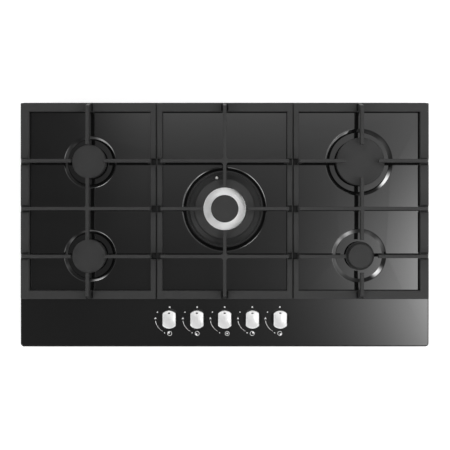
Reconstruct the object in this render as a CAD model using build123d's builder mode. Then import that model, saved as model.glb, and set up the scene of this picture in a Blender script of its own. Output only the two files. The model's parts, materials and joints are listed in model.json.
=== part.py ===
# Five-burner gas cooktop of the 90 cm class: a pressed black steel panel over a folded burner box,
# three cast iron pan supports, five gas burners and five push-and-turn taps.
# Millimetres, +X right, +Y back, +Z up. The origin is the middle of the burner box's underside.
import os
from collections import namedtuple
from math import cos, radians, sin

from build123d import *

# Panel, worktop seal and burner box
panel_width = 860.0
panel_depth = 514.0
panel_sheet = 1.2
panel_corner_radius = 7.0
panel_edge_radius = 2.5
panel_rise = 8.0
seal_thickness = 2.0
seal_width = 14.0
seal_inset = 1.0
box_side_inset = 18.0
box_end_inset = 23.0
box_height = 50.0
box_sheet = 1.0
box_flange = 10.0
stud_radius = 2.0
stud_length = 4.5
stud_inset = 4.5
stud_side_pitch = 170.0
stud_front_pitch = 250.0
nut_flats = 7.0
nut_height = 3.2
corner_cut_width = 70.0
corner_cut_depth = 40.0
vent_length = 60.0
vent_width = 5.0
vent_pitch = 14.0
vent_count = 6
vent_x = 190.0

# Where the burners stand, and their wells
burner_side_inset = 147.0
rear_burner_inset = 125.5
front_burner_inset = 191.5
well_slope = 8.0
well_depth = 3.0
wok_well_depth = 4.0
well_edge = 0.8
semi_rapid_well_radius = 55.0
rapid_well_radius = 70.5
auxiliary_well_radius = 56.5
wok_well_radius = 89.0

# Burner cups, crowns and caps
semi_rapid_cap_radius = 35.0
rapid_cap_radius = 50.0
auxiliary_cap_radius = 25.5
auxiliary_rim = 4.5
cup_wall = 2.0
cup_flange = 2.0
cup_inset = 13.0
cup_bottom = 32.0
holder_radius = 9.0
holder_bore = 3.0
inlet_boss_radius = 7.0
inlet_boss_length = 15.0
flange_inset = 1.0
fit_gap = 0.4
hole_gap = 0.3
spigot_depth = 4.0
spigot_wall = 2.0
seat_height = 4.0
crown_plate = 3.0
ring_wall = 6.0
ring_inset = 4.0
port_width = 1.5
port_depth = 5.0
rim_sheet = 2.0
cap_thickness = 6.0
cap_hollow = 2.0
cap_spigot = 3.5
cap_spigot_wall = 2.5
cap_edge = 1.4
cap_rise = 20.5
venturi_radius = 5.0
venturi_wall = 1.4
venturi_drop = 8.0
screw_inset = 7.0
screw_radius = 2.0
screw_head_radius = 3.4
screw_head = 1.8
screw_length = 7.0
nut_plate_sheet = 1.5
nut_plate_side = 13.0
semi_rapid_ports = 24
rapid_ports = 32
auxiliary_ports = 16

# Wok burner
wok_rim_radius = 79.0
wok_rim_wall = 1.6
wok_rim_rise = 1.0
wok_skirt_radius = 73.0
wok_skirt_rise = 3.5
wok_shoulder_rise = 7.0
wok_cap_radius = 62.5
wok_cap_bore = 44.4
wok_cap_rise = 24.0
wok_wall = 4.0
wok_deck_gap = 0.5
wok_deck_rise = 9.0
wok_deck_sheet = 3.0
wok_recess_radius = 36.8
wok_recess_depth = 1.6
wok_recess_arc = 58.0
wok_foot_wall = 3.0
wok_inner_cap_radius = 28.5
wok_inner_cap_rise = 27.0
wok_hub_radius = 30.0
wok_side_x = 29.0
wok_side_offset = 43.2
wok_side_radius = 14.0
wok_side_tube = 4.4
wok_ports = 36
wok_inner_ports = 18
wok_electrode_radius = 67.4
wok_electrode_angle = 104.4
wok_probe_angle = 270.0
wok_screw_radius = 38.0
wok_screw_angles = (60, 170, 250)

# Injectors, electrodes and thermocouples
injector_flats = 9.0
injector_height = 8.0
injector_jet = 0.8
injector_shank = 8.0
electrode_inset = 5.0
electrode_angle = 240.0
ceramic_radius = 2.6
ceramic_shoulder = 3.4
ceramic_drop = 14.0
tip_radius = 1.0
tip_length = 3.0
tip_gap = 1.0
probe_angle = 300.0
probe_radius = 1.8
probe_shoulder = 2.6
probe_gap = 3.0
shoulder_height = 1.5
notch_gap = 1.4

# Pan supports
support_side_inset = 2.9
support_rear_inset = 2.5
support_front_inset = 101.2
support_gap = 2.6
support_corner_radius = 2.0
wide_rail = 18.0
narrow_rail = 11.0
rail_height = 9.0
rail_chamfer = 1.0
foot_height = 3.5
foot_radius = 4.5
foot_stem_radius = 2.0
foot_stem = 4.0
bar_rise = 44.0
bar_width = 7.0
bar_depth = 15.0
bar_chamfer = 0.8
leg_inset = 8.5
leg_foot_inset = 0.8
leg_thickness = 8.0
leg_shoulder = 3.0
leg_web = 7.0
notch_width = 13.0
notch_floor = 3.0
buffer_gap = 0.5
buffer_height = 6.5
corner_opening = 34.0
wok_opening = 46.5
finger_taper = 26.0
finger_rise = 5.0
side_fillet = 3.5
centre_fillet = 5.5

# Taps, knobs, gas rail and supply pipes
tap_count = 5
tap_pitch = 58.0
tap_inset = 59.0
tap_width = 26.0
tap_length = 30.0
tap_corner = 3.0
tap_bottom = 9.0
tap_height = 35.0
tap_cover = 3.0
chamber_radius = 9.0
plug_top_radius = 8.5
plug_bottom_radius = 7.5
plug_height = 18.0
plug_floor = 9.0
plug_port_radius = 2.0
running_gap = 0.05
spindle_radius = 4.0
spindle_flat = 2.8
spindle_engagement = 5.0
shoulder_radius = 6.0
shoulder_thickness = 2.8
push_travel = 4.5
travel_gap = 0.3
knob_radius = 18.8
knob_width = 27.3
knob_height = 14.0
knob_dome = 1.8
knob_edge = 1.0
knob_wall = 2.2
knob_gap = 6.0
knob_boss_radius = 6.5
knob_grip = 8.0
knob_mark_length = 1.9
knob_mark_width = 4.0
knob_mark_depth = 0.5
knob_mark_offset = 13.5
knob_seal_radius = 19.6
knob_seal_sheet = 1.0
knob_seal_collar = 8.5
knob_seal_bore = 4.6
knob_seal_rise = 3.0
spindle_hole_radius = 6.0
rail_setback = 24.0
rail_z = 22.0
rail_radius = 7.0
rail_bend = 30.0
rail_end = 30.0
rail_stub_radius = 5.0
inlet_radius = 11.5
inlet_socket_radius = 9.5
inlet_length = 26.0
inlet_thread_radius = 10.48
inlet_thread_end = 0.5
inlet_thread_length = 10.5
inlet_relief = 1.0
inlet_crest = 1.0
inlet_bore = 7.0
magnet_radius = 4.5
magnet_length = 22.0
magnet_z = 34.0
magnet_tag = 5.0
pipe_radius = 4.0
pipe_bend = 12.0
pipe_lead = 33.0
pipe_outer_gap = 47.0
pipe_nut_flats = 11.0
pipe_nut_length = 6.0

# Electrical parts
switch_width = 16.0
switch_depth = 6.0
switch_height = 8.0
switch_gap = 3.0
generator_width = 86.0
generator_depth = 44.0
generator_height = 26.0
generator_x = 20.0
generator_inset = 44.0
generator_tag = 6.0
generator_tag_radius = 1.5
generator_corner_radius = 3.0
terminal_width = 42.0
terminal_depth = 22.0
terminal_height = 18.0
terminal_x = 150.0
terminal_gap = 10.0
terminal_screw_radius = 3.0
bushing_flange_radius = 8.0
bushing_radius = 6.0
bushing_bore = 4.0
bushing_flange = 2.0
bushing_length = 10.0
bushing_z = 20.0

# Fixing clamps
clamp_inset = 112.0
clamp_width = 20.0
clamp_sheet = 1.5
clamp_height = 30.0
clamp_foot = 4.5
clamp_bottom = 10.0
clamp_slot = 14.0
clamp_screw_length = 5.0

# Heights and places that follow from the sizes above
box_width = panel_width - 2 * box_side_inset
box_depth = panel_depth - 2 * box_end_inset
burner_x = panel_width / 2 - burner_side_inset
rear_burner_y = panel_depth / 2 - rear_burner_inset
front_burner_y = front_burner_inset - panel_depth / 2
support_width = (panel_width - 2 * support_side_inset - 2 * support_gap) / 3
support_rear = panel_depth / 2 - support_rear_inset
support_front = support_front_inset - panel_depth / 2
tap_y = tap_inset - panel_depth / 2
rail_y = tap_y - rail_setback
clamp_x = box_width / 2 - clamp_inset
generator_y = box_depth / 2 - generator_inset
seal_top = box_height + seal_thickness
panel_top = box_height + panel_rise
panel_under = panel_top - panel_sheet
flange_under = panel_under - box_sheet
bars_y = (rear_burner_y, (rear_burner_y + front_burner_y) / 2, front_burner_y)
wok_y = bars_y[1]
wok_side_y = wok_y - wok_side_offset
wok_floor = panel_top - wok_well_depth
wok_seat = wok_floor + cup_flange
wok_crown_top = panel_top + wok_cap_rise - cap_thickness
wok_inner_top = panel_top + wok_inner_cap_rise - cap_thickness
rail_run_x = box_width / 2 - corner_cut_width / 2
corner_wall_y = box_depth / 2 - corner_cut_depth
tap_xs = [tap_pitch * (i - (tap_count - 1) / 2) for i in range(tap_count)]
tap_front = tap_y - tap_length / 2
tap_rear = tap_y + tap_length / 2
tap_top = tap_bottom + tap_height
plug_bottom = tap_bottom + plug_floor
plug_top = plug_bottom + plug_height
shoulder_bottom = tap_top - travel_gap - shoulder_thickness
spindle_bottom = plug_top - spindle_engagement
knob_base = panel_top + knob_gap
knob_top = knob_base + knob_height
knob_ceiling = knob_top - knob_dome - knob_wall
rail_bottom = panel_top + foot_height
rail_top = rail_bottom + rail_height
bar_top = panel_top + bar_rise
bar_under = bar_top - bar_depth
clamp_places = [(x, side) for x in (-clamp_x, clamp_x) for side in (-1, 1)]
stud_places = [
    (side * (box_width / 2 + stud_inset), step * stud_side_pitch) for side in (-1, 1) for step in (-1, 0)
] + [
    (step * stud_front_pitch, side * (box_depth / 2 + stud_inset)) for side in (-1, 1) for step in (-1, 0, 1)
]

# A corner burner: its place, cap, well, flame ports, bare rim beyond the cap, and which way its inlet faces
Burner = namedtuple("Burner", "name x y cap well ports rim inlet")
corner_burners = (
    Burner("rear_left", -burner_x, rear_burner_y, semi_rapid_cap_radius, semi_rapid_well_radius,
           semi_rapid_ports, 0, -1),
    Burner("front_left", -burner_x, front_burner_y, semi_rapid_cap_radius, semi_rapid_well_radius,
           semi_rapid_ports, 0, 1),
    Burner("rear_right", burner_x, rear_burner_y, rapid_cap_radius, rapid_well_radius,
           rapid_ports, 0, -1),
    Burner("front_right", burner_x, front_burner_y, auxiliary_cap_radius, auxiliary_well_radius,
           auxiliary_ports, auxiliary_rim, -1),
)
corner_floor = panel_top - well_depth
corner_seat = corner_floor + cup_flange
crown_top = panel_top + cap_rise - cap_thickness

os.makedirs("parts", exist_ok=True)


def save(part, name):
    part.label = name
    export_step(part, f"parts/{name}.step")


def polar(x, y, radius, angle):
    return (x + radius * cos(radians(angle)), y + radius * sin(radians(angle)))


# A solid of revolution about the upright line through (x, y), from (radius, height) points
def turned(x, y, outline, mode=Mode.ADD):
    with BuildSketch(Plane(origin=(x, y, 0), x_dir=(1, 0, 0), z_dir=(0, -1, 0))) as section:
        with BuildLine():
            Polyline(*outline, close=True)
        make_face()
    revolve(section.sketch, axis=Axis((x, y, 0), (0, 0, 1)), mode=mode)


# An upright cylinder on the point (x, y), between two heights
def post(x, y, radius, low, high, mode=Mode.ADD):
    with Locations((x, y, low)):
        Cylinder(radius, high - low, align=(Align.CENTER, Align.CENTER, Align.MIN), mode=mode)


def d_shape(radius, flat):
    Circle(radius)
    with Locations((flat, 0)):
        Rectangle(2 * radius, 4 * radius, align=(Align.MIN, Align.CENTER), mode=Mode.SUBTRACT)


def electrode_place(burner):
    return polar(burner.x, burner.y, burner.cap - electrode_inset, electrode_angle)


def probe_place(burner):
    return polar(burner.x, burner.y, burner.cap - electrode_inset, probe_angle)


def screw_places(burner):
    return [polar(burner.x, burner.y, burner.cap - screw_inset, angle) for angle in (0, 180)]


wok_electrode = polar(0, wok_y, wok_electrode_radius, wok_electrode_angle)
wok_probe = polar(0, wok_y, wok_electrode_radius, wok_probe_angle)
wok_screws = [polar(0, wok_y, wok_screw_radius, angle) for angle in wok_screw_angles]
cup_holes = [(b.x, b.y, b.cap - cup_inset) for b in corner_burners]
cup_holes += [(0, wok_y, wok_hub_radius), (wok_side_x, wok_side_y, wok_side_radius)]


# Clearance holes for whatever passes up through the wells
def bore_for_fittings(low, high):
    for x, y, radius in cup_holes:
        post(x, y, radius + fit_gap, low, high, Mode.SUBTRACT)
    for x, y in [electrode_place(b) for b in corner_burners] + [wok_electrode]:
        post(x, y, ceramic_radius + hole_gap, low, high, Mode.SUBTRACT)
    for x, y in [probe_place(b) for b in corner_burners] + [wok_probe]:
        post(x, y, probe_radius + hole_gap, low, high, Mode.SUBTRACT)
    for x, y in [place for b in corner_burners for place in screw_places(b)] + wok_screws:
        post(x, y, screw_radius + hole_gap, low, high, Mode.SUBTRACT)


# Top panel: one pressed sheet with a folded edge, five wells, and studs for the burner box
wells = [(b.x, b.y, b.well, well_depth) for b in corner_burners]
wells.append((0, wok_y, wok_well_radius, wok_well_depth))
with BuildPart() as top_panel:
    with BuildSketch(Plane.XY.offset(seal_top)):
        RectangleRounded(panel_width, panel_depth, panel_corner_radius)
    extrude(amount=panel_top - seal_top)
    fillet(top_panel.faces().sort_by(Axis.Z)[-1].edges(), panel_edge_radius)
    with BuildSketch(Plane.XY.offset(seal_top)):
        RectangleRounded(panel_width - 2 * panel_sheet, panel_depth - 2 * panel_sheet,
                         panel_corner_radius - panel_sheet)
    extrude(amount=panel_under - seal_top, mode=Mode.SUBTRACT)
    for x, y, radius, depth in wells:
        with Locations((x, y, panel_under)):
            Cone(radius - well_slope + panel_sheet / 2, radius + panel_sheet / 2, depth,
                 align=(Align.CENTER, Align.CENTER, Align.MAX))
    for x, y, radius, depth in wells:
        with Locations((x, y, panel_top)):
            Cone(radius - well_slope, radius, depth,
                 align=(Align.CENTER, Align.CENTER, Align.MAX), mode=Mode.SUBTRACT)
    lips = top_panel.edges().filter_by(GeomType.CIRCLE).filter_by(
        lambda edge: abs(edge.center().Z - panel_top) < 0.01 and edge.radius > semi_rapid_cap_radius)
    chamfer(lips, well_edge)
    bore_for_fittings(panel_top - 2 * wok_well_depth, panel_top)
    for x in tap_xs:
        post(x, tap_y, spindle_hole_radius, panel_under - 1, panel_top, Mode.SUBTRACT)
    for x, y in stud_places:
        post(x, y, stud_radius, panel_under - stud_length, panel_under)
save(top_panel.part, "top_panel")

# Sealing strip between the folded edge and the worktop
with BuildPart() as worktop_seal:
    with BuildSketch(Plane.XY.offset(box_height)):
        RectangleRounded(panel_width - 2 * seal_inset, panel_depth - 2 * seal_inset, panel_corner_radius - seal_inset)
        Rectangle(panel_width - 2 * (seal_inset + seal_width), panel_depth - 2 * (seal_inset + seal_width),
                  mode=Mode.SUBTRACT)
    extrude(amount=seal_thickness)
save(worktop_seal.part, "worktop_seal")


# The burner box's outline, cut away at the rear right corner for the gas inlet
def box_outline(grow, mode=Mode.ADD):
    with BuildSketch(mode=Mode.PRIVATE) as outline:
        Rectangle(box_width + 2 * grow, box_depth + 2 * grow)
        with Locations((box_width / 2 + grow, box_depth / 2 + grow)):
            Rectangle(corner_cut_width, corner_cut_depth, align=(Align.MAX, Align.MAX), mode=Mode.SUBTRACT)
    add(outline.sketch, mode=mode)


with BuildPart() as burner_box:
    with BuildSketch():
        box_outline(0)
    extrude(amount=panel_under)
    with BuildSketch(Plane.XY.offset(box_sheet)):
        box_outline(-box_sheet)
    extrude(amount=panel_under, mode=Mode.SUBTRACT)
    with BuildSketch(Plane.XY.offset(flange_under)):
        box_outline(box_flange)
        box_outline(-box_sheet, Mode.SUBTRACT)
    extrude(amount=box_sheet)
    for x, y in stud_places:
        post(x, y, stud_radius + hole_gap, flange_under - 1, panel_under, Mode.SUBTRACT)
    with Locations((-vent_x, 0), (vent_x, 0)):
        with GridLocations(1, vent_pitch, 1, vent_count):
            Box(vent_length, vent_width, 4 * box_sheet, mode=Mode.SUBTRACT)
    with Locations(Location((rail_run_x, corner_wall_y, rail_z), (90, 0, 0))):
        Cylinder(rail_radius + hole_gap, 4 * box_sheet, mode=Mode.SUBTRACT)
    with Locations(Location((terminal_x, box_depth / 2, bushing_z), (90, 0, 0))):
        Cylinder(bushing_radius + running_gap, 4 * box_sheet, mode=Mode.SUBTRACT)
    for x, side in clamp_places:
        with Locations(Location((x, side * box_depth / 2, clamp_bottom + clamp_height / 2), (90, 0, 0))):
            Cylinder(screw_radius + hole_gap, 4 * box_sheet, mode=Mode.SUBTRACT)
save(burner_box.part, "burner_box")

# Nuts that hold the burner box to the panel's studs
with BuildPart() as box_nuts:
    with BuildSketch(Plane.XY.offset(flange_under - nut_height)):
        with Locations(*stud_places):
            RegularPolygon(nut_flats / 2, 6, major_radius=False)
            Circle(stud_radius + running_gap, mode=Mode.SUBTRACT)
    extrude(amount=nut_height)
save(box_nuts.part, "box_nuts")

# Worktop clamps on the front and rear walls of the box
with BuildPart() as fixing_clamps:
    for x, side in clamp_places:
        wall = side * box_depth / 2
        with Locations((x, wall + side * clamp_sheet / 2, clamp_bottom)):
            Box(clamp_width, clamp_sheet, clamp_height, align=(Align.CENTER, Align.CENTER, Align.MIN))
        with Locations((x, wall + side * (clamp_sheet + clamp_foot) / 2, clamp_bottom)):
            Box(clamp_width, clamp_sheet + clamp_foot, clamp_sheet, align=(Align.CENTER, Align.CENTER, Align.MIN))
        with BuildSketch(Plane.XZ.offset(-wall - side * clamp_sheet / 2)):
            with Locations((x, clamp_bottom + clamp_height / 2)):
                SlotOverall(clamp_slot, 2 * (screw_radius + hole_gap), rotation=90)
        extrude(amount=clamp_sheet, both=True, mode=Mode.SUBTRACT)
save(fixing_clamps.part, "fixing_clamps")

# Nut plates that take the cup screws under the wells
with BuildPart() as backing_plates:
    places = [(*place, corner_floor) for b in corner_burners for place in screw_places(b)]
    for x, y, floor in places + [(*place, wok_floor) for place in wok_screws]:
        with Locations((x, y, floor - panel_sheet)):
            Box(nut_plate_side, nut_plate_side, nut_plate_sheet, align=(Align.CENTER, Align.CENTER, Align.MAX))
    bore_for_fittings(wok_floor - panel_sheet - 2 * nut_plate_sheet, panel_top)
save(backing_plates.part, "backing_plates")


# Holder under a cup: the injector screws into it from above, the supply pipe meets its side boss
def injector_holder(x, y, turn):
    post(x, y, holder_radius, rail_z - inlet_boss_radius, cup_bottom + cup_wall)
    with Locations(Location((x, y, rail_z), (0, 0, turn))):
        with Locations(Location((0, 0, 0), (0, 90, 0))):
            Cylinder(inlet_boss_radius, inlet_boss_length, align=(Align.CENTER, Align.CENTER, Align.MIN))
            Cylinder(holder_bore, inlet_boss_length, align=(Align.CENTER, Align.CENTER, Align.MIN), mode=Mode.SUBTRACT)
    post(x, y, holder_bore, rail_z, cup_bottom + cup_wall, Mode.SUBTRACT)


def corner_cup(burner):
    outer = burner.cap - cup_inset
    inner = outer - cup_wall
    flange = burner.cap - flange_inset
    with BuildPart() as cup:
        turned(burner.x, burner.y, [
            (0, cup_bottom), (outer, cup_bottom), (outer, corner_floor), (flange, corner_floor),
            (flange, corner_seat), (inner, corner_seat), (inner, cup_bottom + cup_wall), (0, cup_bottom + cup_wall)])
        injector_holder(burner.x, burner.y, 0 if burner.inlet > 0 else 180)
        post(*electrode_place(burner), ceramic_radius + hole_gap, corner_floor, corner_seat, Mode.SUBTRACT)
        post(*probe_place(burner), probe_radius + hole_gap, corner_floor, corner_seat, Mode.SUBTRACT)
        for x, y in screw_places(burner):
            post(x, y, screw_radius + hole_gap, corner_floor, corner_seat, Mode.SUBTRACT)
    return cup.part


# Flame spreader: a seat and spigot in the cup, a mixing tube, and a slotted ring that carries the cap
def corner_crown(burner):
    seat_outer = burner.cap - cup_inset
    spigot = seat_outer - cup_wall - fit_gap
    ring = burner.cap - ring_inset
    plate = corner_seat + seat_height
    tube = venturi_radius + venturi_wall
    with BuildPart() as crown:
        turned(burner.x, burner.y, [
            (venturi_radius, corner_seat - venturi_drop), (tube, corner_seat - venturi_drop), (tube, plate),
            (spigot - spigot_wall, plate), (spigot - spigot_wall, corner_seat - spigot_depth),
            (spigot, corner_seat - spigot_depth), (spigot, corner_seat), (seat_outer, corner_seat),
            (seat_outer, plate), (ring, plate), (ring, crown_top), (ring - ring_wall, crown_top),
            (ring - ring_wall, plate + crown_plate), (venturi_radius, plate + crown_plate)])
        if burner.rim:
            rim_top = crown_top - port_depth
            turned(burner.x, burner.y, [
                (ring - ring_wall / 2, rim_top - rim_sheet), (burner.cap + burner.rim, rim_top - rim_sheet),
                (burner.cap + burner.rim, rim_top), (ring - ring_wall / 2, rim_top)])
        with Locations((burner.x, burner.y, crown_top)):
            with PolarLocations(ring - ring_wall / 2, burner.ports):
                Box(ring_wall + 1, port_width, port_depth, align=(Align.CENTER, Align.CENTER, Align.MAX),
                    mode=Mode.SUBTRACT)
        post(*electrode_place(burner), ceramic_radius + notch_gap, plate, crown_top, Mode.SUBTRACT)
        post(*probe_place(burner), probe_radius + notch_gap, plate, crown_top, Mode.SUBTRACT)
    return crown.part


# Enamelled cap: a flat disc with a bevelled edge and a ring underneath that centres it in its crown
def cap(x, y, radius, top, spigot):
    under = top - cap_thickness
    with BuildPart() as disc:
        turned(x, y, [
            (0, under + cap_hollow), (spigot - cap_spigot_wall, under + cap_hollow),
            (spigot - cap_spigot_wall, under - cap_spigot), (spigot, under - cap_spigot), (spigot, under),
            (radius, under), (radius, top), (0, top)])
        chamfer(disc.faces().sort_by(Axis.Z)[-1].edges(), cap_edge)
    return disc.part


for burner in corner_burners:
    save(corner_cup(burner), f"cup_{burner.name}")
    save(corner_crown(burner), f"crown_{burner.name}")
    bore = burner.cap - ring_inset - ring_wall - fit_gap
    save(cap(burner.x, burner.y, burner.cap, panel_top + cap_rise, bore), f"cap_{burner.name}")

# Wok burner cup: a dish with an upright rim, a hub for the inner flames and a side holder for the outer ones
with BuildPart() as cup_wok:
    rim_inner = wok_rim_radius - wok_rim_wall
    rim_top = panel_top + wok_rim_rise
    hub_inner = wok_hub_radius - cup_wall
    turned(0, wok_y, [
        (0, cup_bottom), (wok_hub_radius, cup_bottom), (wok_hub_radius, wok_floor), (wok_rim_radius, wok_floor),
        (wok_rim_radius, rim_top), (rim_inner, rim_top), (rim_inner, wok_seat), (hub_inner, wok_seat),
        (hub_inner, cup_bottom + cup_wall), (0, cup_bottom + cup_wall)])
    post(wok_side_x, wok_side_y, wok_side_radius, cup_bottom, wok_floor)
    post(wok_side_x, wok_side_y, wok_side_radius - cup_wall, cup_bottom + cup_wall, wok_seat, Mode.SUBTRACT)
    injector_holder(0, wok_y, -90)
    injector_holder(wok_side_x, wok_side_y, -90)
    post(*wok_electrode, ceramic_radius + hole_gap, wok_floor, wok_seat, Mode.SUBTRACT)
    post(*wok_probe, probe_radius + hole_gap, wok_floor, wok_seat, Mode.SUBTRACT)
    for x, y in wok_screws:
        post(x, y, screw_radius + hole_gap, wok_floor, wok_seat, Mode.SUBTRACT)
save(cup_wok.part, "cup_wok")

# Outer crown: a sloping shoulder, then two slotted walls with the gas channel between them
with BuildPart() as crown_wok:
    outer_wall = wok_cap_radius - ring_inset
    inner_wall = wok_cap_bore + 2
    spigot = wok_hub_radius - cup_wall - fit_gap
    plate = wok_seat + seat_height
    shoulder_low = panel_top + wok_skirt_rise
    shoulder_high = panel_top + wok_shoulder_rise
    turned(0, wok_y, [
        (spigot - spigot_wall, wok_seat - spigot_depth), (spigot, wok_seat - spigot_depth), (spigot, wok_seat),
        (wok_hub_radius + spigot_wall, wok_seat), (wok_hub_radius + spigot_wall, plate), (wok_skirt_radius, plate),
        (wok_skirt_radius, shoulder_low), (wok_cap_radius + 2, shoulder_high), (outer_wall, shoulder_high),
        (outer_wall, wok_crown_top), (outer_wall - wok_wall, wok_crown_top),
        (outer_wall - wok_wall, plate + crown_plate), (inner_wall + wok_wall, plate + crown_plate),
        (inner_wall + wok_wall, wok_crown_top), (inner_wall, wok_crown_top), (inner_wall, plate + crown_plate),
        (spigot - spigot_wall, plate + crown_plate)])
    post(wok_side_x, wok_side_y, wok_side_tube + venturi_wall, wok_seat - venturi_drop, plate)
    post(wok_side_x, wok_side_y, wok_side_tube, wok_seat - venturi_drop, plate + crown_plate, Mode.SUBTRACT)
    for wall in (outer_wall - wok_wall / 2, inner_wall + wok_wall / 2):
        with Locations((0, wok_y, wok_crown_top)):
            with PolarLocations(wall, wok_ports):
                Box(wok_wall + 1, port_width, port_depth, align=(Align.CENTER, Align.CENTER, Align.MAX),
                    mode=Mode.SUBTRACT)
    post(*wok_electrode, ceramic_radius + notch_gap, plate, shoulder_high, Mode.SUBTRACT)
    post(*wok_probe, probe_radius + notch_gap, plate, shoulder_high, Mode.SUBTRACT)
save(crown_wok.part, "crown_wok")

# Inner crown: the bright deck seen between the two caps, with four lobes between its sunk sectors
with BuildPart() as inner_crown_wok:
    deck = wok_cap_bore + 2 - wok_deck_gap
    deck_top = panel_top + wok_deck_rise
    deck_under = deck_top - wok_deck_sheet
    foot = wok_seat + seat_height + crown_plate
    ring = wok_inner_cap_radius - ring_inset
    turned(0, wok_y, [
        (venturi_radius, wok_seat - venturi_drop), (venturi_radius + venturi_wall, wok_seat - venturi_drop),
        (venturi_radius + venturi_wall, deck_under), (deck - wok_foot_wall, deck_under),
        (deck - wok_foot_wall, foot), (deck, foot), (deck, deck_top), (ring, deck_top), (ring, wok_inner_top),
        (ring - wok_wall, wok_inner_top), (ring - wok_wall, deck_top), (venturi_radius, deck_top)])
    with Locations((0, wok_y, wok_inner_top)):
        with PolarLocations(ring - wok_wall / 2, wok_inner_ports):
            Box(wok_wall + 1, port_width, port_depth, align=(Align.CENTER, Align.CENTER, Align.MAX),
                mode=Mode.SUBTRACT)
    for middle in (45, 135, 225, 315):
        start = radians(middle - wok_recess_arc / 2)
        side = Plane(origin=(0, wok_y, deck_top), x_dir=(cos(start), sin(start), 0), z_dir=(sin(start), -cos(start), 0))
        with BuildSketch(side):
            with Locations((wok_recess_radius, 0)):
                Rectangle(deck, wok_recess_depth, align=(Align.MIN, Align.MAX))
        revolve(axis=Axis((0, wok_y, 0), (0, 0, 1)), revolution_arc=wok_recess_arc, mode=Mode.SUBTRACT)
save(inner_crown_wok.part, "inner_crown_wok")

# Annular cap and inner cap of the wok burner
with BuildPart() as cap_wok:
    top = panel_top + wok_cap_rise
    lip = wok_cap_radius - ring_inset - wok_wall - fit_gap
    lip_inner = wok_cap_bore + 2 + wok_wall + fit_gap
    turned(0, wok_y, [
        (wok_cap_bore, wok_crown_top), (lip_inner, wok_crown_top), (lip_inner, wok_crown_top - cap_spigot),
        (lip, wok_crown_top - cap_spigot), (lip, wok_crown_top), (wok_cap_radius, wok_crown_top),
        (wok_cap_radius, top), (wok_cap_bore, top)])
    chamfer(cap_wok.faces().sort_by(Axis.Z)[-1].edges(), cap_edge)
save(cap_wok.part, "cap_wok")

inner_spigot = wok_inner_cap_radius - ring_inset - wok_wall - fit_gap
save(cap(0, wok_y, wok_inner_cap_radius, panel_top + wok_inner_cap_rise, inner_spigot), "inner_cap_wok")

# Screws that hold the cups down through the wells, and the clamps to the box
with BuildPart() as screws:
    corner_screws = [(*place, corner_seat) for b in corner_burners for place in screw_places(b)]
    seats = [(Location(place), screw_length) for place in corner_screws + [(*place, wok_seat) for place in wok_screws]]
    for x, side in clamp_places:
        face = (x, side * (box_depth / 2 + clamp_sheet), clamp_bottom + clamp_height / 2)
        seats.append((Location(face, (-90 * side, 0, 0)), clamp_screw_length))
    for seat, length in seats:
        with BuildSketch(Plane(seat)):
            RegularPolygon(screw_head_radius, 6)
        extrude(amount=screw_head)
        with Locations(seat):
            Cylinder(screw_radius, length, align=(Align.CENTER, Align.CENTER, Align.MAX))
save(screws.part, "screws")

# Brass injectors standing on the cup floors
with BuildPart() as injectors:
    for x, y in [(b.x, b.y) for b in corner_burners] + [(0, wok_y), (wok_side_x, wok_side_y)]:
        with BuildSketch(Plane.XY.offset(cup_bottom + cup_wall)):
            with Locations((x, y)):
                RegularPolygon(injector_flats / 2, 6, major_radius=False)
        extrude(amount=injector_height)
        post(x, y, holder_bore - running_gap, cup_bottom + cup_wall - injector_shank, cup_bottom + cup_wall)
        post(x, y, injector_jet, cup_bottom - injector_shank, cup_bottom + cup_wall + injector_height, Mode.SUBTRACT)
save(injectors.part, "injectors")

# Ignition electrodes: a ceramic body with a shoulder on the cup's flange, and a metal tip below the cap
with BuildPart() as electrodes:
    places = [(*electrode_place(b), corner_seat, crown_top) for b in corner_burners]
    places.append((*wok_electrode, wok_seat, panel_top + wok_shoulder_rise + tip_length + tip_gap))
    for x, y, seat, top in places:
        post(x, y, ceramic_radius, seat - ceramic_drop, top - tip_gap - tip_length)
        post(x, y, ceramic_shoulder, seat, seat + shoulder_height)
        post(x, y, tip_radius, top - tip_gap - tip_length, top - tip_gap)
save(electrodes.part, "electrodes")

# Flame safety thermocouples
with BuildPart() as thermocouples:
    places = [(*probe_place(b), corner_seat, crown_top) for b in corner_burners]
    places.append((*wok_probe, wok_seat, panel_top + wok_shoulder_rise + probe_gap))
    for x, y, seat, top in places:
        post(x, y, probe_radius, seat - ceramic_drop, top - probe_gap)
        post(x, y, probe_shoulder, seat, seat + shoulder_height)
save(thermocouples.part, "thermocouples")

# Gas rail: one bent tube with a stub to each tap
with BuildPart() as gas_rail:
    start = (tap_xs[0] - rail_end, rail_y, rail_z)
    with BuildLine() as route:
        FilletPolyline(start, (rail_run_x, rail_y, rail_z), (rail_run_x, corner_wall_y + 4, rail_z), radius=rail_bend)
    with BuildSketch(Plane(origin=route.line @ 0, z_dir=route.line % 0)):
        Circle(rail_radius)
    sweep()
    for x in tap_xs:
        with Locations(Location((x, rail_y, rail_z), (-90, 0, 0))):
            Cylinder(rail_stub_radius, tap_front - rail_y, align=(Align.CENTER, Align.CENTER, Align.MIN))
save(gas_rail.part, "gas_rail")

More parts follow.
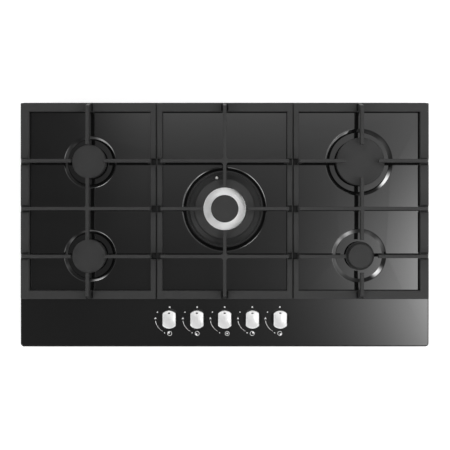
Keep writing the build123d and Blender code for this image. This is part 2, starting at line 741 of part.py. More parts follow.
# Inlet elbow: takes the rail's end in the box's cut-away corner and turns its thread down
with BuildPart() as inlet_elbow:
    elbow_start = corner_wall_y + 4
    with Locations(Location((rail_run_x, elbow_start, rail_z), (-90, 0, 0))):
        Cylinder(inlet_socket_radius, inlet_length, align=(Align.CENTER, Align.CENTER, Align.MIN))
    elbow_y = elbow_start + inlet_length / 2
    thread_top = inlet_thread_end + inlet_thread_length
    post(rail_run_x, elbow_y, inlet_radius, thread_top + inlet_relief, rail_z + inlet_socket_radius + inlet_crest)
    post(rail_run_x, elbow_y, inlet_thread_radius - inlet_relief, thread_top, thread_top + inlet_relief)
    post(rail_run_x, elbow_y, inlet_thread_radius, inlet_thread_end, thread_top)
    post(rail_run_x, elbow_y, inlet_bore, inlet_thread_end, rail_z, Mode.SUBTRACT)
save(inlet_elbow.part, "inlet_elbow")

# Tap bodies, bored for a tapered plug, with gas drillings front and rear and a second outlet for the wok burner
with BuildPart() as tap_bodies:
    for x in tap_xs:
        with BuildSketch(Plane.XY.offset(tap_bottom)) as block:
            with Locations((x, tap_y)):
                Rectangle(tap_width, tap_length)
            chamfer(block.vertices(), tap_corner)
        extrude(amount=tap_height)
        with Locations((x, tap_y, plug_bottom)):
            Cone(plug_bottom_radius + running_gap, plug_top_radius + running_gap, plug_height,
                 align=(Align.CENTER, Align.CENTER, Align.MIN), mode=Mode.SUBTRACT)
        post(x, tap_y, plug_bottom_radius, plug_bottom - travel_gap, plug_bottom, Mode.SUBTRACT)
        post(x, tap_y, chamber_radius, plug_top, tap_top, Mode.SUBTRACT)
        with Locations(Location((x, tap_y, rail_z), (90, 0, 0))):
            Cylinder(plug_port_radius, 2 * tap_length, mode=Mode.SUBTRACT)
    with Locations(Location((tap_xs[2], tap_y, rail_z), (0, 90, 0))):
        Cylinder(plug_port_radius, tap_width, align=(Align.CENTER, Align.CENTER, Align.MIN), mode=Mode.SUBTRACT)
save(tap_bodies.part, "tap_bodies")

with BuildPart() as tap_covers:
    for x in tap_xs:
        with BuildSketch(Plane.XY.offset(tap_top)) as plate:
            with Locations((x, tap_y)):
                Rectangle(tap_width, tap_length)
            chamfer(plate.vertices(), tap_corner)
            with Locations((x, tap_y)):
                Circle(spindle_radius + running_gap, mode=Mode.SUBTRACT)
        extrude(amount=tap_cover)
save(tap_covers.part, "tap_covers")


# Tapered plug with a cross port, closed at rest, and a D-shaped socket for the spindle
def tap_plug(x):
    with BuildPart() as plug:
        with Locations((x, tap_y, plug_bottom)):
            Cone(plug_bottom_radius, plug_top_radius, plug_height, align=(Align.CENTER, Align.CENTER, Align.MIN))
        with Locations(Location((x, tap_y, rail_z), (0, 90, 0))):
            Cylinder(plug_port_radius, 2 * plug_top_radius + 2, mode=Mode.SUBTRACT)
        with BuildSketch(Plane((x, tap_y, spindle_bottom - push_travel - travel_gap))):
            d_shape(spindle_radius + running_gap, spindle_flat + running_gap)
        extrude(amount=plug_height, mode=Mode.SUBTRACT)
    return plug.part


# Spindle: D-shaped, with a round stretch through the tap's cover and a shoulder that stops under it
def tap_spindle(x):
    with BuildPart() as spindle:
        post(x, tap_y, spindle_radius, shoulder_bottom, knob_base)
        post(x, tap_y, shoulder_radius, shoulder_bottom, shoulder_bottom + shoulder_thickness)
        with BuildSketch(Plane((x, tap_y, spindle_bottom))):
            d_shape(spindle_radius, spindle_flat)
        extrude(amount=knob_ceiling - spindle_bottom)
    return spindle.part


# The knob's outline seen from above: a circle with two flats
def knob_outline(inset):
    Circle(knob_radius - inset)
    Rectangle(knob_width - 2 * inset, 2 * knob_radius, mode=Mode.INTERSECT)


# Knob: a domed shell with a D-bored boss for the spindle and a sunk pointer mark at the back of its top
def knob(x):
    mark_y = tap_y + knob_mark_offset
    mark_drop = knob_dome * (knob_mark_offset / knob_radius) ** 2
    side_top = knob_top - knob_dome - knob_edge
    with BuildPart() as shell:
        with BuildSketch(Plane(origin=(x, tap_y, 0), x_dir=(1, 0, 0), z_dir=(0, -1, 0))):
            with BuildLine():
                edge = (knob_radius - knob_edge, knob_top - knob_dome)
                TangentArc((0, knob_top), edge, tangent=(1, 0))
                Polyline(edge, (knob_radius, side_top), (knob_radius, knob_base), (0, knob_base), (0, knob_top))
            make_face()
        revolve(axis=Axis((x, tap_y, 0), (0, 0, 1)))
        with BuildSketch(Plane(origin=(x, tap_y, 0), x_dir=(1, 0, 0), z_dir=(0, -1, 0))):
            with Locations((0, knob_base)):
                Rectangle(knob_width, side_top - knob_base, align=(Align.CENTER, Align.MIN))
            with Locations((0, side_top)):
                Trapezoid(knob_width, knob_dome + knob_edge, 45, align=(Align.CENTER, Align.MIN))
        extrude(amount=knob_radius, both=True, mode=Mode.INTERSECT)
        with BuildSketch(Plane((x, tap_y, knob_base))):
            knob_outline(knob_wall)
        extrude(amount=knob_ceiling - knob_base, mode=Mode.SUBTRACT)
        post(x, tap_y, knob_boss_radius, knob_ceiling - knob_grip, knob_ceiling)
        with BuildSketch(Plane((x, tap_y, knob_ceiling - knob_grip))):
            d_shape(spindle_radius + running_gap, spindle_flat + running_gap)
        extrude(amount=knob_grip, mode=Mode.SUBTRACT)
        with Locations((x, mark_y, knob_top - mark_drop - knob_mark_depth)):
            Box(knob_mark_width, knob_mark_length, knob_dome, align=(Align.CENTER, Align.CENTER, Align.MIN),
                mode=Mode.SUBTRACT)
    return shell.part


for number, x in enumerate(tap_xs, start=1):
    save(tap_plug(x), f"tap_plug_{number}")
    save(tap_spindle(x), f"spindle_{number}")
    save(knob(x), f"knob_{number}")

# Seals under the knobs: a disc on the panel with a collar round the spindle
with BuildPart() as knob_seals:
    for x in tap_xs:
        turned(x, tap_y, [
            (knob_seal_bore, panel_top), (knob_seal_radius, panel_top),
            (knob_seal_radius, panel_top + knob_seal_sheet), (knob_seal_collar, panel_top + knob_seal_sheet),
            (knob_seal_collar, panel_top + knob_seal_rise), (knob_seal_bore, panel_top + knob_seal_rise)])
save(knob_seals.part, "knob_seals")

# Flame safety magnet units on the backs of the taps
with BuildPart() as safety_magnets:
    for x in tap_xs:
        with Locations(Location((x, tap_rear, magnet_z), (-90, 0, 0))):
            Cylinder(magnet_radius, magnet_length, align=(Align.CENTER, Align.CENTER, Align.MIN))
            Cylinder(magnet_radius / 2, magnet_length + magnet_tag, align=(Align.CENTER, Align.CENTER, Align.MIN))
save(safety_magnets.part, "safety_magnets")

# Ignition switches on the tap covers, beside the spindles
with BuildPart() as ignition_switches:
    with Locations(*[(x, tap_y + spindle_radius + switch_gap, tap_top + tap_cover) for x in tap_xs]):
        Box(switch_width, switch_depth, switch_height, align=(Align.CENTER, Align.MIN, Align.MIN))
save(ignition_switches.part, "ignition_switches")


def holder_face(burner):
    return (burner.x + burner.inlet * inlet_boss_length, burner.y, rail_z)


def tap_outlet(x):
    return (x, tap_rear, rail_z)


# Supply pipe routes, tap to burner. The first runs outside the front left burner, so that none cross.
rear_left, front_left, rear_right, front_right = corner_burners
lead_y = tap_rear + pipe_lead
outer_x = -burner_x - pipe_outer_gap
pipe_routes = [
    [tap_outlet(tap_xs[0]), (tap_xs[0], lead_y, rail_z), (outer_x, lead_y, rail_z), (outer_x, rear_left.y, rail_z),
     holder_face(rear_left)],
    [tap_outlet(tap_xs[1]), (tap_xs[1], front_left.y, rail_z), holder_face(front_left)],
    [tap_outlet(tap_xs[2]), (0, wok_y - inlet_boss_length, rail_z)],
    [(tap_xs[2] + tap_width / 2, tap_y, rail_z), (wok_side_x, tap_y, rail_z),
     (wok_side_x, wok_side_y - inlet_boss_length, rail_z)],
    [tap_outlet(tap_xs[3]), (tap_xs[3], rear_right.y, rail_z), holder_face(rear_right)],
    [tap_outlet(tap_xs[4]), (tap_xs[4], front_right.y, rail_z), holder_face(front_right)],
]


# The first bend leaves the nut at the tap its straight length
def pipe_line(points):
    first_leg = (Vector(points[1]) - Vector(points[0])).length
    with BuildLine(mode=Mode.PRIVATE) as line:
        if len(points) > 2:
            FilletPolyline(*points, radius=min(pipe_bend, first_leg - pipe_nut_length))
        else:
            Line(*points)
    return line.line


with BuildPart() as supply_pipes:
    for points in pipe_routes:
        route = pipe_line(points)
        with BuildSketch(Plane(origin=route @ 0, z_dir=route % 0)):
            Circle(pipe_radius)
        sweep(path=route)
save(supply_pipes.part, "supply_pipes")

with BuildPart() as pipe_nuts:
    for points in pipe_routes:
        route = pipe_line(points)
        for seat in (Plane(origin=route @ 0, z_dir=route % 0), Plane(origin=route @ 1, z_dir=-(route % 1))):
            with BuildSketch(seat):
                RegularPolygon(pipe_nut_flats / 2, 6, major_radius=False)
                Circle(pipe_radius + running_gap, mode=Mode.SUBTRACT)
            extrude(amount=pipe_nut_length)
save(pipe_nuts.part, "pipe_nuts")

# Spark generator with one tag for each electrode
with BuildPart() as spark_generator:
    with Locations((generator_x, generator_y, box_sheet)):
        Box(generator_width, generator_depth, generator_height, align=(Align.CENTER, Align.CENTER, Align.MIN))
    fillet(spark_generator.edges().filter_by(Axis.Z), generator_corner_radius)
    with Locations((generator_x, generator_y, box_sheet + generator_height)):
        with GridLocations(generator_width / (tap_count + 1), 1, tap_count, 1):
            Cylinder(generator_tag_radius, generator_tag, align=(Align.CENTER, Align.CENTER, Align.MIN))
save(spark_generator.part, "spark_generator")

# Mains terminal block, and the bushing that a supply cord would pass through in the rear wall
with BuildPart() as terminal_block:
    block_y = box_depth / 2 - box_sheet - terminal_gap
    with Locations((terminal_x, block_y, box_sheet)):
        Box(terminal_width, terminal_depth, terminal_height, align=(Align.CENTER, Align.MAX, Align.MIN))
    with Locations((terminal_x, block_y - terminal_depth / 2, box_sheet + terminal_height)):
        with GridLocations(terminal_width / 3, 1, 3, 1):
            Cylinder(terminal_screw_radius, terminal_height / 2,
                     align=(Align.CENTER, Align.CENTER, Align.MAX), mode=Mode.SUBTRACT)
save(terminal_block.part, "terminal_block")

with BuildPart() as cord_bushing:
    outside = Location((terminal_x, box_depth / 2, bushing_z), (-90, 0, 0))
    with Locations(outside):
        Cylinder(bushing_flange_radius, bushing_flange, align=(Align.CENTER, Align.CENTER, Align.MIN))
        Cylinder(bushing_radius, bushing_length - bushing_flange, align=(Align.CENTER, Align.CENTER, Align.MAX))
        Cylinder(bushing_bore, 2 * bushing_length, mode=Mode.SUBTRACT)
save(cord_bushing.part, "cord_bushing")


# Side view of a bar: an arch on two legs. An outer end slopes out to the edge of the support, and an inner
# end, next to another support, stops short of it.
def bar_profile(span, near_outer, far_outer):
    near = leg_inset
    far = span - leg_inset
    near_foot = leg_foot_inset if near_outer else near
    far_foot = span - leg_foot_inset if far_outer else far
    with BuildLine() as outline:
        Polyline(
            (near_foot, rail_bottom), (near_foot, rail_top), (near, bar_top - leg_shoulder), (near + leg_shoulder, bar_top),
            (far - leg_shoulder, bar_top), (far, bar_top - leg_shoulder), (far_foot, rail_top), (far_foot, rail_bottom),
            (far - leg_thickness, rail_bottom), (far - leg_thickness, bar_under - leg_web),
            (far - leg_thickness - leg_web, bar_under), (near + leg_thickness + leg_web, bar_under),
            (near + leg_thickness, bar_under - leg_web), (near + leg_thickness, rail_bottom), close=True)
    make_face(outline.edges())


# Cast iron pan support: raised bars that stop in fingers round the burners, on a low frame of rails.
# The rails are grooved where the bars come down, and cut through where two supports meet.
def pan_support(left, rails, outer, bar_x, openings, opening, crossings, crossing_fillet):
    length = support_rear - support_front
    right = left + support_width
    left_rail, right_rail = rails
    centre = (left + support_width / 2, support_front + length / 2)
    ends_x = [(left, left_rail, 1, outer[0]), (right, right_rail, -1, outer[1])]
    ends_y = [(support_front, wide_rail, 1), (support_rear, wide_rail, -1)]
    with BuildPart() as support:
        for y in bars_y:
            with BuildSketch(Plane(origin=(left, y, 0), x_dir=(1, 0, 0), z_dir=(0, -1, 0))):
                bar_profile(support_width, *outer)
            extrude(amount=bar_width / 2, both=True)
        with BuildSketch(Plane(origin=(bar_x, support_front, 0), x_dir=(0, 1, 0), z_dir=(1, 0, 0))):
            bar_profile(length, True, True)
        extrude(amount=bar_width / 2, both=True)
        for y in openings:
            post(bar_x, y, opening, bar_under, bar_top, Mode.SUBTRACT)
            with Locations((bar_x, y, bar_under)):
                Cone(opening + finger_taper, opening, finger_rise,
                     align=(Align.CENTER, Align.CENTER, Align.MIN), mode=Mode.SUBTRACT)
        corners = support.edges().filter_by(Axis.Z).filter_by(
            lambda edge: abs(abs(edge.center().X - bar_x) - bar_width / 2) < 0.01
            and any(abs(abs(edge.center().Y - y) - bar_width / 2) < 0.01 for y in crossings))
        fillet(corners, crossing_fillet)
        chamfer(support.faces().filter_by(Axis.Z).group_by(Axis.Z)[-1].edges(), bar_chamfer)
        for level, height, cut in ((rail_bottom, notch_floor, False), (rail_bottom + notch_floor, rail_height - notch_floor, True)):
            with BuildSketch(Plane.XY.offset(level)):
                with Locations(centre):
                    RectangleRounded(support_width, length, support_corner_radius)
                with Locations(((left + left_rail + right - right_rail) / 2, centre[1])):
                    Rectangle(support_width - left_rail - right_rail, length - 2 * wide_rail, mode=Mode.SUBTRACT)
                for edge, width, inward, free in ends_x:
                    through = width if cut else leg_inset
                    if cut or not free:
                        with Locations(*[(edge + inward * through / 2, y) for y in bars_y]):
                            Rectangle(through, notch_width, mode=Mode.SUBTRACT)
                for edge, width, inward in ends_y:
                    if cut:
                        with Locations((bar_x, edge + inward * width / 2)):
                            Rectangle(notch_width, width, mode=Mode.SUBTRACT)
            extrude(amount=height)
        tops = support.faces().filter_by(Axis.Z).filter_by(lambda face: abs(face.center().Z - rail_top) < 0.01)
        chamfer(tops.edges(), rail_chamfer)
        for x, y in foot_places(left, rails):
            post(x, y, foot_stem_radius + running_gap, rail_bottom, rail_bottom + foot_stem + travel_gap,
                 Mode.SUBTRACT)
    return support.part


def foot_places(left, rails):
    xs = (left + rails[0] / 2, left + support_width - rails[1] / 2)
    return [(x, y) for x in xs for y in (support_front + wide_rail / 2, support_rear - wide_rail / 2)]


# Rubber feet, and rubber buffers against the legs where two supports meet
def rubber_feet(left, rails, outer):
    ends = [(left, 1, outer[0]), (left + support_width, -1, outer[1])]
    with BuildPart() as feet:
        for x, y in foot_places(left, rails):
            post(x, y, foot_radius, panel_top, rail_bottom)
            post(x, y, foot_stem_radius, rail_bottom, rail_bottom + foot_stem)
        for edge, inward, free in ends:
            if not free:
                with Locations(*[(edge + inward * (leg_inset + buffer_gap) / 2, y, panel_top) for y in bars_y]):
                    Box(leg_inset - buffer_gap, notch_width - 2 * buffer_gap, buffer_height,
                        align=(Align.CENTER, Align.CENTER, Align.MIN))
    return feet.part


centre_left = -support_width / 2
side_left = centre_left - support_gap - support_width
side_right = -centre_left + support_gap
outer_bars = (rear_burner_y, front_burner_y)
supports = {
    "left": (side_left, (wide_rail, narrow_rail), (True, False), -burner_x, outer_bars, corner_opening, [wok_y], side_fillet),
    "centre": (centre_left, (narrow_rail, narrow_rail), (False, False), 0, [wok_y], wok_opening, outer_bars, centre_fillet),
    "right": (side_right, (narrow_rail, wide_rail), (False, True), burner_x, outer_bars, corner_opening, [wok_y], side_fillet),
}
for name, layout in supports.items():
    save(pan_support(*layout), f"pan_support_{name}")
    save(rubber_feet(*layout[:3]), f"feet_{name}")
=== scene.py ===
import json
from math import cos, pi, radians, sin

import bmesh
import bpy
from mathutils import Matrix, Vector


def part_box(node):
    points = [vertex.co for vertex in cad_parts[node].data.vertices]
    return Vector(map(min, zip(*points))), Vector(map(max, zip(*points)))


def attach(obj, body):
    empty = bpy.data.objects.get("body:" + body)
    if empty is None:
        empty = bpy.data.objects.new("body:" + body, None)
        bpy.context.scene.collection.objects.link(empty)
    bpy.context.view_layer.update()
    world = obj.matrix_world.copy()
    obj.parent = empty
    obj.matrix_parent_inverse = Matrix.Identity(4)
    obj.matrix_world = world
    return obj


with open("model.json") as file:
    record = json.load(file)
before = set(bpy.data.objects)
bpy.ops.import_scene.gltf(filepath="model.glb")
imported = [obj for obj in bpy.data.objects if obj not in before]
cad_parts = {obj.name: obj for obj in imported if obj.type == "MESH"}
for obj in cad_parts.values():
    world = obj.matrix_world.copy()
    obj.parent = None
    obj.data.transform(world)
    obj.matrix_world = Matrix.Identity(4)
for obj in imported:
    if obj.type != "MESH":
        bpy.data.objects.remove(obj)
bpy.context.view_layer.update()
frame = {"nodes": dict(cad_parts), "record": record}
record = frame["record"]
nodes = frame["nodes"]
mm = 0.001


# Wraps an output socket, so that maths on it adds Math nodes
class Socket:
    def __init__(self, shader, link):
        self.shader = shader
        self.link = link

    def maths(self, operation, a, b=0.0):
        return self.shader.node("ShaderNodeMath", {"operation": operation}, {0: a, 1: b})

    def __add__(self, other):
        return self.maths("ADD", self, other)

    def __radd__(self, other):
        return self.maths("ADD", other, self)

    def __sub__(self, other):
        return self.maths("SUBTRACT", self, other)

    def __rsub__(self, other):
        return self.maths("SUBTRACT", other, self)

    def __mul__(self, other):
        return self.maths("MULTIPLY", self, other)

    def __rmul__(self, other):
        return self.maths("MULTIPLY", other, self)

    def __truediv__(self, other):
        return self.maths("DIVIDE", self, other)

    def __rtruediv__(self, other):
        return self.maths("DIVIDE", other, self)

    def __pow__(self, other):
        return self.maths("POWER", self, other)

    def __abs__(self):
        return self.maths("ABSOLUTE", self)

    def over(self, level):
        return self.maths("GREATER_THAN", self, level)

    def under(self, level):
        return self.maths("LESS_THAN", self, level)

    def ramp(self, low, high, start=0.0, end=1.0):
        limits = {"Value": self, "From Min": low, "From Max": high, "To Min": start, "To Max": end}
        return self.shader.node("ShaderNodeMapRange", {"interpolation_type": "SMOOTHSTEP"}, limits)


class Shader:
    def __init__(self, tree):
        self.tree = tree
        tree.nodes.clear()

    def node(self, kind, settings=None, values=None, output=0):
        made = self.tree.nodes.new(kind)
        for name, setting in (settings or {}).items():
            setattr(made, name, setting)
        for name, value in (values or {}).items():
            if isinstance(value, Socket):
                self.tree.links.new(value.link, made.inputs[name])
            else:
                made.inputs[name].default_value = value
        return Socket(self, made.outputs[output]) if made.outputs else made

    def place(self):
        return self.node("ShaderNodeTexCoord", output="Object")

    def axis(self, name, vector=None):
        return self.node("ShaderNodeSeparateXYZ", values={"Vector": vector or self.place()}, output=name)

    def noise(self, scale, detail=2.0, roughness=0.5):
        return self.node("ShaderNodeTexNoise", values={"Vector": self.place(), "Scale": scale,
                                                       "Detail": detail, "Roughness": roughness})

    def mix(self, factor, a, b):
        return self.node("ShaderNodeMix", {"data_type": "RGBA"}, {"Factor": factor, 6: a, 7: b}, output=2)

    def bump(self, height, distance):
        return self.node("ShaderNodeBump", values={"Height": height, "Distance": distance, "Strength": 1.0})


def grey(level, tint=(1, 1, 1)):
    return (level * tint[0], level * tint[1], level * tint[2], 1)


def makeMaterial(name, build):
    material = bpy.data.materials.new(name)
    material.use_nodes = True
    shader = Shader(material.node_tree)
    surface = shader.node("ShaderNodeBsdfPrincipled", values=build(shader))
    shader.node("ShaderNodeOutputMaterial", values={"Surface": surface})
    material.diffuse_color = (0.5, 0.5, 0.5, 1)
    return material


# Finishes, one function each
enamel = {"foldWidth": 2.4 * mm, "fadeWidth": 0.9 * mm, "glassIor": 1.8, "glassRoughness": 0.045}


def panelEnamel(s):
    # Glassy black enamel, which turns dull where it runs out over the folded edge
    low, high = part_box("top_panel")
    across = abs(s.axis("X")) - (high[0] - enamel["foldWidth"])
    along = abs(s.axis("Y")) - (high[1] - enamel["foldWidth"])
    gloss = across.maths("MAXIMUM", across, along).ramp(0.0, enamel["fadeWidth"], 1.0, 0.0)
    smear = s.noise(9, 3)
    return {"Base Color": s.mix(smear, grey(0.003), grey(0.005)),
            "Roughness": smear.ramp(0.35, 0.7, 0.35, 0.5), "IOR": 1.0,
            "Coat Weight": gloss, "Coat IOR": enamel["glassIor"],
            "Coat Roughness": enamel["glassRoughness"], "Normal": s.bump(s.noise(60, 1), 0.00002)}


def supportIron(s):
    grain = s.noise(1500, 3, 0.6)
    cast = s.noise(160, 2)
    return {"Base Color": s.mix(s.noise(40, 4), grey(0.028), grey(0.035)),
            "Roughness": grain.ramp(0.3, 0.7, 0.45, 0.58), "IOR": 1.3,
            "Normal": s.bump(grain * 0.5 + cast, 0.00008)}


def capEnamel(s):
    grain = s.noise(1800, 2, 0.6)
    return {"Base Color": s.mix(s.noise(60, 3), grey(0.027), grey(0.033)),
            "Roughness": grain.ramp(0.3, 0.7, 0.46, 0.58), "IOR": 1.3,
            "Normal": s.bump(grain, 0.00003)}


def crownAluminium(s):
    grain = s.noise(900, 3, 0.6)
    return {"Base Color": s.mix(grain, grey(0.022), grey(0.038)), "Metallic": 0.5, "IOR": 1.3,
            "Roughness": grain.ramp(0.3, 0.7, 0.42, 0.6), "Normal": s.bump(grain, 0.00006)}


def brightAluminium(s):
    grain = s.noise(500, 3)
    return {"Base Color": s.mix(grain, grey(0.92), grey(0.97)), "Metallic": 0.1,
            "Roughness": grain.ramp(0.3, 0.7, 0.35, 0.5), "Normal": s.bump(grain, 0.00003)}


def cupAluminium(s):
    grain = s.noise(700, 3)
    return {"Base Color": s.mix(grain, grey(0.022), grey(0.040)), "Metallic": 0.4,
            "Roughness": grain.ramp(0.3, 0.7, 0.3, 0.45), "IOR": 1.3, "Normal": s.bump(grain, 0.00005)}


knobs = {
    "count": 5, "pitch": 58.0 * mm, "y": -198.0 * mm, "topFace": 75.5 * mm,
    "markY": -184.5 * mm, "markHalfLength": 1.3 * mm, "markHalfWidth": 2.3 * mm, "markAbove": 70.0 * mm,
}


def knobSilver(s):
    # Satin silver, paler on the top face than on the sides, with the black pointer mark
    x = s.axis("X")
    y = s.axis("Y")
    z = s.axis("Z")
    pitch = knobs["pitch"]
    # Distance from the middle of the nearest knob
    fromKnob = x.maths("FLOORED_MODULO", x + 4.5 * pitch, pitch) - pitch / 2
    acrossMark = abs(fromKnob).under(knobs["markHalfWidth"])
    alongMark = abs(y - knobs["markY"]).under(knobs["markHalfLength"])
    mark = acrossMark * alongMark * z.over(knobs["markAbove"])
    onTop = z.over(knobs["topFace"])
    satin = s.noise(900, 1, 0.5)
    metal = onTop.ramp(0.0, 1.0, 0.9, 0.45) * (1.0 - mark)
    return {"Base Color": s.mix(mark, grey(0.90), grey(0.01)), "Metallic": metal,
            "Roughness": satin.ramp(0.3, 0.7, 0.19, 0.23), "Normal": s.bump(satin, 0.000003)}


# Rubber seal under each knob, made near-black: partly the rubber's own colour, partly painted shade standing
# in for the knob's shadow on the panel around it
def sealRubberAndShade(s):
    grain = s.noise(1200, 2)
    return {"Base Color": s.mix(grain, grey(0.006), grey(0.012)),
            "Roughness": grain.ramp(0.3, 0.7, 0.6, 0.75), "IOR": 1.3, "Normal": s.bump(grain, 0.00003)}


def casingSteel(s):
    spangle = s.node("ShaderNodeTexVoronoi", values={"Vector": s.place(), "Scale": 110.0}, output="Color")
    tone = s.node("ShaderNodeSeparateColor", values={"Color": spangle})
    return {"Base Color": s.mix(tone, grey(0.48), grey(0.62)), "Metallic": 0.9,
            "Roughness": tone.ramp(0.0, 1.0, 0.3, 0.46), "Normal": s.bump(s.noise(300, 2), 0.00003)}


def plainMetal(level, tint, low, high):
    # Metals inside the hob: their tone, tint, and least and most roughness
    def build(s):
        grain = s.noise(800, 2)
        dark, pale = grey(level * 0.9, tint), grey(level * 1.08, tint)
        return {"Base Color": s.mix(grain, dark, pale), "Metallic": 1.0,
                "Roughness": grain.ramp(0.3, 0.7, low, high), "Normal": s.bump(grain, 0.00002)}
    return build


def ceramic(s):
    cream = (1, 0.99, 0.96)
    return {"Base Color": s.mix(s.noise(300, 2), grey(0.80, cream), grey(0.88, cream)),
            "Roughness": s.noise(900).ramp(0.3, 0.7, 0.2, 0.32)}


def darkPlastic(s):
    grain = s.noise(1600, 2)
    return {"Base Color": s.mix(grain, grey(0.020), grey(0.030)),
            "Roughness": grain.ramp(0.3, 0.7, 0.45, 0.6), "Normal": s.bump(grain, 0.00004)}


def markPrint(s):
    return {"Base Color": s.mix(s.noise(700, 2), grey(0.66), grey(0.74)),
            "Roughness": s.noise(900).ramp(0.3, 0.7, 0.4, 0.5)}


finishes = {
    "panel_enamel": panelEnamel,
    "seal_rubber": sealRubberAndShade,
    "casing_steel": casingSteel,
    "fastener_steel": plainMetal(0.55, (1, 1, 1), 0.28, 0.4),
    "cup_aluminium": cupAluminium,
    "crown_aluminium": crownAluminium,
    "bright_aluminium": brightAluminium,
    "cap_enamel": capEnamel,
    "support_iron": supportIron,
    "injector_brass": plainMetal(0.7, (1, 0.78, 0.42), 0.22, 0.34),
    "electrode_ceramic": ceramic,
    "probe_metal": plainMetal(0.55, (1, 0.82, 0.55), 0.3, 0.42),
    "gas_pipe": plainMetal(0.7, (1, 1, 1.01), 0.25, 0.4),
    "fitting_brass": plainMetal(0.62, (1, 0.8, 0.46), 0.24, 0.38),
    "tap_aluminium": plainMetal(0.55, (1, 1, 1), 0.4, 0.52),
    "spindle_steel": plainMetal(0.6, (1, 1, 1), 0.2, 0.32),
    "knob_silver": knobSilver,
    "electrical_plastic": darkPlastic,
}
materials = {slot: makeMaterial(slot, build) for slot, build in finishes.items()}
materials["mark_print"] = makeMaterial("mark_print", markPrint)

# Every node keeps its own mesh; edges sharper than the split angle stay crisp
shading = {"weldGap": 0.002 * mm, "splitAngle": 18}
for part in record["subparts"]:
    node = nodes[part["node"]]
    mesh = node.data
    mesh.materials.clear()
    mesh.materials.append(materials[part["material_slot"]])
    mesh.polygons.foreach_set("use_smooth", [True] * len(mesh.polygons))
    weld = node.modifiers.new("weld", "WELD")
    weld.merge_threshold = shading["weldGap"]
    split = node.modifiers.new("split", "EDGE_SPLIT")
    split.split_angle = radians(shading["splitAngle"])
    node.modifiers.new("normals", "WEIGHTED_NORMAL")
print("finishes on", len(record["subparts"]), "nodes")


# Marks printed on the panel beside each knob; places are from the knob's middle, angles in degrees
marks = {
    "level": 58.0 * mm, "thickness": 0.06 * mm, "mergeGap": 0.001 * mm,
    "dots": (  # across, up, radius: off, past the sweep's head, past its low end
        (0, 24.2 * mm, 1.75 * mm), (-25.8 * mm, 13.7 * mm, 1.25 * mm), (-10.8 * mm, -29.9 * mm, 1.15 * mm),
    ),
    "headAt": (-30.1 * mm, 0.4 * mm, 0), "headRadius": 2.8 * mm, "headTurn": 120,
    "sweepRadius": 30.3 * mm, "sweepWidth": 1.2 * mm,
    "sweepStart": 189, "sweepAngle": 53, "sweepThinning": 0.65,
    "ringY": -31.3 * mm, "ringRadius": 4.8 * mm, "ringWidth": 0.8 * mm,
    "quarters": {0: 90, 1: 180, 3: 0, 4: 270}, "quarterHole": 0.02 * mm, "quarterOverlap": 0.05 * mm,
    "middleKnob": 2, "middleRingX": 5.2 * mm, "discRadius": 1.7 * mm,
}


def bandOfFaces(bm, centre, inner, outer, start, sweep, steps):
    # A flat band: an edge across its width, spun about its centre
    a = bm.verts.new(centre + Vector((inner * cos(start), inner * sin(start), 0)))
    b = bm.verts.new(centre + Vector((outer * cos(start), outer * sin(start), 0)))
    edge = bm.edges.new((a, b))
    bmesh.ops.spin(bm, geom=[a, b, edge], cent=centre, axis=(0, 0, 1), angle=sweep, steps=steps,
                   use_merge=sweep >= 2 * pi, use_duplicate=False)


def makeMarks():
    bm = bmesh.new()
    outer = marks["ringRadius"]
    inner = outer - marks["ringWidth"]
    sweepRadius = marks["sweepRadius"]
    halfSweep = marks["sweepWidth"] / 2
    start = radians(marks["sweepStart"])
    sweep = radians(marks["sweepAngle"])
    for i in range(knobs["count"]):
        isMiddle = i == marks["middleKnob"]
        centre = Vector(((i - marks["middleKnob"]) * knobs["pitch"], knobs["y"], marks["level"]))
        for x, y, radius in marks["dots"]:
            bmesh.ops.create_circle(bm, cap_ends=True, segments=24, radius=radius,
                                    matrix=Matrix.Translation(centre + Vector((x, y, 0))))
        headPlace = Matrix.Translation(centre + Vector(marks["headAt"]))
        bmesh.ops.create_circle(bm, cap_ends=True, segments=3, radius=marks["headRadius"],
                                matrix=headPlace @ Matrix.Rotation(radians(marks["headTurn"]), 4, "Z"))
        before = len(bm.verts)
        bandOfFaces(bm, centre, sweepRadius - halfSweep, sweepRadius + halfSweep, start, sweep, 24)
        bm.verts.ensure_lookup_table()
        for vert in bm.verts[before:]:  # the sweep thins out towards its low end
            arm = vert.co - centre
            turn = (Vector((-1, 0, 0)).angle(arm) - radians(marks["sweepStart"] - 180)) / sweep
            middle = arm.normalized() * sweepRadius
            vert.co = centre + middle + (arm - middle) * (1.0 - marks["sweepThinning"] * turn)
        ringAt = centre + Vector((marks["middleRingX"] if isMiddle else 0, marks["ringY"], 0))
        bandOfFaces(bm, ringAt, inner, outer, 0, 2 * pi, 40)
        if isMiddle:
            bmesh.ops.create_circle(bm, cap_ends=True, segments=8, radius=marks["discRadius"],
                                    matrix=Matrix.Translation(ringAt))
        else:
            quarter = radians(marks["quarters"][i])
            bandOfFaces(bm, ringAt, marks["quarterHole"], inner + marks["quarterOverlap"],
                        quarter, pi / 2, 12)
    bmesh.ops.remove_doubles(bm, verts=bm.verts, dist=marks["mergeGap"])
    for face in bm.faces:
        face.normal_update()
        if face.normal.z < 0:
            face.normal_flip()
    grown = bmesh.ops.extrude_face_region(bm, geom=bm.faces[:], use_keep_orig=True)
    lifted = [v for v in grown["geom"] if isinstance(v, bmesh.types.BMVert)]
    bmesh.ops.translate(bm, verts=lifted, vec=(0, 0, marks["thickness"]))
    bmesh.ops.recalc_face_normals(bm, faces=bm.faces)
    mesh = bpy.data.meshes.new("knob_marks")
    bm.to_mesh(mesh)
    bm.free()
    piece = bpy.data.objects.new("knob_marks", mesh)
    bpy.context.scene.collection.objects.link(piece)
    mesh.materials.append(materials["mark_print"])
    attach(piece, "hob")


makeMarks()
print("marks made")


